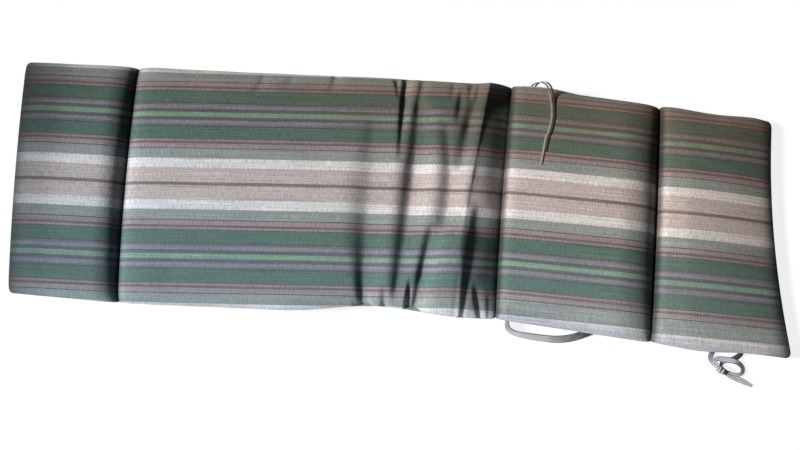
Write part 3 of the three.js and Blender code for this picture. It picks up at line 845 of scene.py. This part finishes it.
class Nodes:
    """Short hand for building a material's node tree."""

    # Places of the colour sockets on a mix node, where names stand for several kinds of socket
    MIX_A = 6
    MIX_B = 7
    MIX_RESULT = 2

    def __init__(self, name):
        self.material = bpy.data.materials.new(name)
        self.material.use_nodes = True
        self.tree = self.material.node_tree
        self.shader = self.tree.nodes["Principled BSDF"]

    def node(self, kind, inputs=(), **settings):
        made = self.tree.nodes.new(kind)
        for key, value in settings.items():
            setattr(made, key, value)
        for key, value in dict(inputs).items():
            self.plug(made.inputs[key], value)
        return made

    def plug(self, socket, value):
        if isinstance(value, bpy.types.NodeSocket):
            self.tree.links.new(value, socket)
        else:
            socket.default_value = value

    def set_shader(self, settings):
        for name, value in settings.items():
            self.plug(self.shader.inputs[name], value)

    def cloth_uv(self):
        """The cloth's own coordinates, along and across."""
        uv = self.node("ShaderNodeUVMap", uv_map="cloth").outputs[0]
        split = self.node("ShaderNodeSeparateXYZ", {0: uv}).outputs
        return split[0], split[1]

    def attribute(self, name, output):
        return self.node("ShaderNodeAttribute", attribute_name=name).outputs[output]

    def math(self, operation, a, b=0.0, c=0.0):
        return self.node("ShaderNodeMath", {0: a, 1: b, 2: c}, operation=operation).outputs[0]

    def mix(self, factor, a, b, blend="MIX"):
        inputs = {"Factor": factor, self.MIX_A: a, self.MIX_B: b}
        made = self.node("ShaderNodeMix", inputs, data_type="RGBA", blend_type=blend)
        return made.outputs[self.MIX_RESULT]

    def shade(self, colour, level):
        """Colour multiplied by a level of grey."""
        grey = self.node("ShaderNodeCombineColor", {0: level, 1: level, 2: level}).outputs[0]
        return self.mix(1.0, colour, grey, "MULTIPLY")

    def spread(self, value, low, high, to_low=0.0, to_high=1.0, clamp=True):
        """The run of a value from low to high, stretched to another run."""
        inputs = {"Value": value, "From Min": low, "From Max": high, "To Min": to_low, "To Max": to_high}
        return self.node("ShaderNodeMapRange", inputs, clamp=clamp).outputs[0]

    def between(self, value, low, high):
        """1 where the value lies between two others."""
        above = self.math("GREATER_THAN", value, low)
        return self.math("MULTIPLY", above, self.math("LESS_THAN", value, high))

    def noise(self, u, v, along, across, detail):
        """Noise on the cloth, with its own swings along and across."""
        x = self.math("MULTIPLY", u, along)
        y = self.math("MULTIPLY", v, across)
        place = self.node("ShaderNodeCombineXYZ", {"X": x, "Y": y}).outputs[0]
        inputs = {"Vector": place, "Scale": 1.0, "Detail": detail}
        return self.node("ShaderNodeTexNoise", inputs).outputs[0]

    def grain(self, u, v, yarns):
        """Noises of several yarns, each by its share."""
        total = 0.0
        for swings, share in yarns:
            total = self.math("MULTIPLY_ADD", self.noise(u, v, *swings), share, total)
        return total

    def finish(self, colour, height, distance):
        inputs = {"Height": height, "Distance": distance, "Strength": BUMP_STRENGTH}
        bump = self.node("ShaderNodeBump", inputs)
        self.set_shader({"Base Color": colour, "Normal": bump.outputs[0], **CLOTH_SHADER})
        return self.material


def opaque(colour):
    return (*colour, 1.0)


def stripe_colour(n, share):
    """Colour of the stripe at a share of the half repeat."""
    ramp = n.node("ShaderNodeValToRGB", {"Fac": share})
    stops = ramp.color_ramp
    stops.interpolation = "CONSTANT"
    for i, (start, yarn) in enumerate(STRIPES):
        stop = stops.elements[0] if i == 0 else stops.elements.new(start / HALF_REPEAT)
        stop.position = start / HALF_REPEAT
        stop.color = opaque(YARN[yarn])
    stops.elements.remove(stops.elements[len(stops.elements) - 1])
    return ramp.outputs[0]


def woven_marks(n, colour, u, v, away, wander):
    """Bars and dots woven into some of the stripes."""
    uneven = n.spread(n.noise(u, v, *MARK_PATCHES), *MARK_LEVELS)
    swing = n.math("PINGPONG", u, MARK_HALF_PITCH * MM)
    for (low, high), start, mark_wander, strength, mark_colour in MARKS:
        place = n.math("MULTIPLY_ADD", wander, mark_wander * MM, swing)
        mark = n.math("GREATER_THAN", place, start * MM)
        mark = n.math("MULTIPLY", mark, n.between(away, low * MM, high * MM))
        share = n.math("MULTIPLY", n.math("MULTIPLY", mark, uneven), strength)
        colour = n.mix(share, colour, opaque(mark_colour))
    return colour


def striped_cloth():
    """Woven cloth whose stripes run along the length, with its wear, dirt and painted light and shade.
    """
    n = Nodes("striped_cloth")
    u, v = n.cloth_uv()

    # Stripes
    wander = n.noise(u, v, *WANDER)
    shift = n.math("MULTIPLY_ADD", wander, 2 * WANDER_MOST * MM, -WANDER_MOST * MM)
    away = n.math("PINGPONG", n.math("ADD", v, shift), HALF_REPEAT * MM)
    colour = stripe_colour(n, n.math("DIVIDE", away, HALF_REPEAT * MM))
    colour = woven_marks(n, colour, u, v, away, wander)

    # Yarns, worn patches, painted front light, dirt, and the tone of painted light and shade
    grain = n.grain(u, v, COVER_YARNS)
    worn = n.math("MULTIPLY_ADD", n.noise(u, v, *WORN_PATCHES), WORN_GAIN, WORN_LEAST)
    colour = n.shade(colour, n.math("MULTIPLY", n.spread(grain, *COVER_LEVELS), worn))
    # Painted front light, mixed in as a pale cool veil
    colour = n.mix(n.attribute("fade", "Fac"), colour, opaque(FRONT_LIGHT_VEIL))
    colour = n.mix(n.attribute("dirt", "Fac"), colour, opaque(DIRT))
    # Tone of painted light and shade
    colour = n.mix(1.0, colour, n.attribute("tone", "Color"), "MULTIPLY")

    # Relief of the plain weave
    weft = n.math("SINE", n.math("MULTIPLY", u, 2 * math.pi / (WEFT_PITCH * MM)))
    warp = n.math("SINE", n.math("MULTIPLY", v, 2 * math.pi / (WARP_PITCH * MM)))
    height = n.math("ADD", n.math("MULTIPLY", weft, warp), n.math("MULTIPLY", grain, GRAIN_RELIEF))
    return n.finish(colour, height, COVER_RELIEF * MM)


def tape_colour(n, u, v, near, far, run, edge, rim_from, groove, shaded_places):
    """Near turns to far along the run; painted shade in the edge's colour lies on the edges, groove and
    shaded places.
    """
    # Root and far colours; on most tapes one of them is painted shade where the tape passes under the
    # cushion
    along = n.spread(u, run[0] * MM, run[1] * MM, clamp=False)
    patch = n.math("MULTIPLY_ADD", n.noise(u, v, *TAPE_PATCHES), 2 * TAPE_PATCH_MOST, -TAPE_PATCH_MOST)
    share = n.spread(n.math("ADD", along, patch), 0.0, 1.0)
    colour = n.mix(share, opaque(TAPE_YARN[near]), opaque(TAPE_YARN[far]))
    edge_colour = opaque(TAPE_YARN[edge])
    aside = n.math("ABSOLUTE", v)
    # Painted shade along the edges and in the groove
    rim = n.spread(aside, rim_from, rim_from + RIM_SOFT)
    colour = n.mix(n.math("MULTIPLY", rim, RIM_MOST), colour, edge_colour)
    colour = n.mix(n.math("MULTIPLY", n.spread(aside, *GROOVE_SPAN), groove), colour, edge_colour)
    # Painted shade at the given places along the tape
    for middle, half in shaded_places:
        off = n.math("ABSOLUTE", n.math("SUBTRACT", u, middle * MM))
        dip_shade = n.spread(off, half * MM, half * DIP_SHADE_CORE * MM)
        colour = n.mix(n.math("MULTIPLY", dip_shade, DIP_SHADE_MOST), colour, edge_colour)
    return colour


def tape_cloth(name):
    """The same cloth folded to a narrow tape, with a row of stitches along its open edge."""
    n = Nodes(name)
    u, v = n.cloth_uv()
    colour = tape_colour(n, u, v, *TAPE_CLOTHS[name])
    grain = n.grain(u, v, TAPE_YARNS)
    stitch = n.math("GREATER_THAN", n.math("PINGPONG", u, STITCH_HALF_PITCH * MM), STITCH_START * MM)
    seam = n.math("MULTIPLY", n.between(v, *STITCH_ROW), stitch)
    lighter = n.math("MULTIPLY_ADD", seam, STITCH_GAIN, 1.0)
    colour = n.shade(colour, n.math("MULTIPLY", n.spread(grain, *TAPE_LEVELS), lighter))
    return n.finish(colour, n.math("ADD", grain, seam), TAPE_RELIEF * MM)


def declare(obj, slot, *nodes):
    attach(obj, "root")
    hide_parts(*nodes)


def make_cushion():
    ring = ring_facts()
    row = girth_rows()
    points = cushion_skin(ring, row)
    cap = strip_cap(points[0, :, 1])
    obj = closed_loft("cushion_cover", points, cloth_coords(ring, row, points), cap)
    set_shade_and_dirt(obj, *cushion_shade_and_dirt(points, ring))
    weld(obj)
    obj.data.materials.append(striped_cloth())
    declare(obj, "striped_cloth", "cushion")


def spline(route):
    """Smooth curve through the rows of a route, all columns together."""
    rows = np.array(route, dtype=float)
    padded = np.vstack([2 * rows[0] - rows[1], rows, 2 * rows[-1] - rows[-2]])
    t = (np.arange(TAPE_STEPS) / TAPE_STEPS)[:, None]
    spans = []
    for p0, p1, p2, p3 in zip(padded, padded[1:], padded[2:], padded[3:]):
        bend = (2 * p0 - 5 * p1 + 4 * p2 - p3) * t ** 2 + (3 * p1 - p0 - 3 * p2 + p3) * t ** 3
        spans.append(0.5 * (2 * p1 + (p2 - p0) * t + bend))
    return np.vstack(spans + [rows[-1:]])


def step_lengths(path):
    return np.linalg.norm(np.diff(path, axis=0), axis=1)


def tape_section(wide, thick):
    """Points across a folded tape: along its width, and out of its face."""
    half_wide, half_thick = wide / 2, thick / 2
    aside = TAPE_PROFILE[:, 0] * half_wide + TAPE_PROFILE[:, 1] * half_thick
    return np.stack([aside, TAPE_PROFILE[:, 2] * half_thick], axis=-1)


def tape_directions(line, side_axis):
    """Directions across a tape and out of its face, turned as its route says."""
    tangent = np.gradient(line[:, :3], axis=0)
    tangent /= np.linalg.norm(tangent, axis=1, keepdims=True)
    if side_axis is None:
        side = np.cross((0, 0, 1), tangent)
    else:
        side = np.tile(side_axis, (len(line), 1)).astype(float)
    side -= tangent * np.sum(side * tangent, axis=1, keepdims=True)
    side /= np.linalg.norm(side, axis=1, keepdims=True)
    face = np.cross(tangent, side)
    turn = np.radians(column(line, ROUTE_COLUMNS, "turn"))[:, None]
    return side * np.cos(turn) + face * np.sin(turn), face * np.cos(turn) - side * np.sin(turn)


def tape(name, route, thick, material, side_axis=None):
    """Flat tape along a route; returns its object and its middle line in metres."""
    line = spline(route)
    middle = line[:, :3]
    side, face = tape_directions(line, side_axis)
    run = np.concatenate([[0.0], np.cumsum(step_lengths(middle))])
    points, coords = [], []
    for i, wide in enumerate(column(line, ROUTE_COLUMNS, "wide")):
        section = tape_section(wide, thick)
        points.append(middle[i] + section[:, :1] * side[i] + section[:, 1:] * face[i])
        across = section[:, 0] / (wide / 2)
        coords.append(np.stack([np.full(len(section), run[i] * MM), across], axis=-1))
    obj = closed_loft(name, np.array(points), np.array(coords))
    obj.data.materials.append(material)
    return obj, (middle + ROW_SHIFT) * MM


def declare_tie(obj, nodes):
    declare(obj, "tie_cloth", *nodes)


def make_back_ties():
    for name, route, cloth, node in (
        ("back_tie_long", BACK_TIE_LONG, "tie_cream", "tie_back_long"),
        ("back_tie_short", BACK_TIE_SHORT, "tie_tan", "tie_back_short"),
    ):
        obj, path = tape(name, route, BACK_TIE_THICK, tape_cloth(cloth), (1, 0, 0))
        declare_tie(obj, [node])


def make_knot():
    """Knot of slanting wraps round the two front ties."""
    share = np.linspace(-KNOT_END, KNOT_END, KNOT_STEPS)[:, None]
    angle = np.linspace(0, 2 * math.pi, KNOT_SIDES, endpoint=False)[None, :]
    wrap_turn = math.pi * KNOT_WRAPS * (share + KNOT_SLANT * np.sin(angle) + 1)
    wrap = KNOT_RIDGE * np.abs(np.sin(wrap_turn / 2)) ** KNOT_RIDGE_POWER + 1 - KNOT_RIDGE
    ridge = 1 + KNOT_PROUD * wrap * (1 - share ** 2)
    radius = KNOT_RADIUS * np.sqrt(1 - share ** 4) * ridge
    along = share * KNOT_LENGTH / 2 * np.ones_like(angle)
    across = radius * np.cos(angle)
    up = radius * np.sin(angle) * KNOT_HIGH / KNOT_RADIUS
    heading = math.radians(KNOT_HEADING)
    x = KNOT_MIDDLE[0] + along * math.cos(heading) - across * math.sin(heading)
    y = KNOT_MIDDLE[1] + along * math.sin(heading) + across * math.cos(heading)
    z = KNOT_HIGH * (1 + KNOT_PROUD) + SEAT_GAP + up
    round_knot = angle * KNOT_RADIUS * MM * np.ones_like(share)
    coords = np.stack([round_knot, np.cos(wrap_turn)], axis=-1)
    obj = closed_loft("front_tie_knot", np.stack([x, y, z], axis=-1), coords)
    obj.data.materials.append(tape_cloth("tie_wrapped"))
    declare(obj, "tie_cloth", "tie_front_knot")
    return obj


def make_front_ties():
    knot = make_knot()
    obj, path = tape("front_tie_left", FRONT_TIE_LEFT, FRONT_TIE_THICK, tape_cloth("tie_pale"))
    declare_tie(obj, ["tie_front_left", "tie_front_tail"])
    obj, path = tape("front_tie_right", FRONT_TIE_RIGHT, FRONT_TIE_THICK, tape_cloth("tie_ear"))
    declare_tie(obj, ["tie_front_right", "tie_front_loop"])


def make_strap():
    obj, path = tape("strap_band", STRAP, STRAP_THICK, tape_cloth("strap_cloth"))
    declare(obj, "tie_cloth", "strap_loop")


def aim(obj, target):
    obj.rotation_euler = (Vector(target) - obj.location).to_track_quat("-Z", "Y").to_euler()


def make_camera():
    tilt = math.radians(CAMERA_TILT)
    turn = math.radians(CAMERA_TURN)
    camera = bpy.data.objects.new("camera", bpy.data.cameras.new("camera"))
    camera.data.lens = LENS
    camera.data.sensor_width = SENSOR
    camera.rotation_euler = (tilt, 0.0, turn)
    back = Vector((math.sin(tilt) * math.sin(turn), -math.sin(tilt) * math.cos(turn), math.cos(tilt)))
    camera.location = Vector(AIM) + back * AIM_DISTANCE
    bpy.context.collection.objects.link(camera)
    bpy.context.scene.camera = camera


def make_light(name, kind, strength, colour, place, target):
    light = bpy.data.lights.new(name, kind)
    light.energy = strength
    light.color = colour
    obj = bpy.data.objects.new(name, light)
    obj.location = place
    aim(obj, target)
    bpy.context.collection.objects.link(obj)
    return light


def make_key():
    """Sun that shines from an azimuth, counted from +X towards +Y, and an elevation."""
    a = math.radians(KEY_AZIMUTH)
    e = math.radians(KEY_ELEVATION)
    towards = Vector((math.cos(a) * math.cos(e), math.sin(a) * math.cos(e), math.sin(e)))
    key = make_light("key", "SUN", KEY_STRENGTH, KEY_COLOUR, towards * KEY_DISTANCE, (0, 0, 0))
    key.angle = math.radians(KEY_ANGLE)


def make_panel():
    panel = make_light("front_sky", "AREA", PANEL_POWER, PANEL_COLOUR, PANEL_PLACE, PANEL_TARGET)
    panel.shape = "RECTANGLE"
    panel.size, panel.size_y = PANEL_SIZE


def make_sky():
    world = bpy.data.worlds.new("studio")
    world.use_nodes = True
    background = world.node_tree.nodes["Background"]
    background.inputs["Color"].default_value = SKY_COLOUR
    background.inputs["Strength"].default_value = SKY_STRENGTH
    bpy.context.scene.world = world
    bpy.context.scene.view_settings.view_transform = "Standard"


def make_floor():
    bpy.ops.mesh.primitive_plane_add(size=FLOOR_SIZE, location=(0, 0, FLOOR_Z))
    floor = bpy.context.object
    floor.name = "floor"
    n = Nodes("pale_floor")
    n.set_shader(FLOOR_SHADER)
    floor.data.materials.append(n.material)


make_camera()
make_cushion()
make_back_ties()
make_front_ties()
make_strap()
make_floor()
make_key()
make_panel()
make_sky()
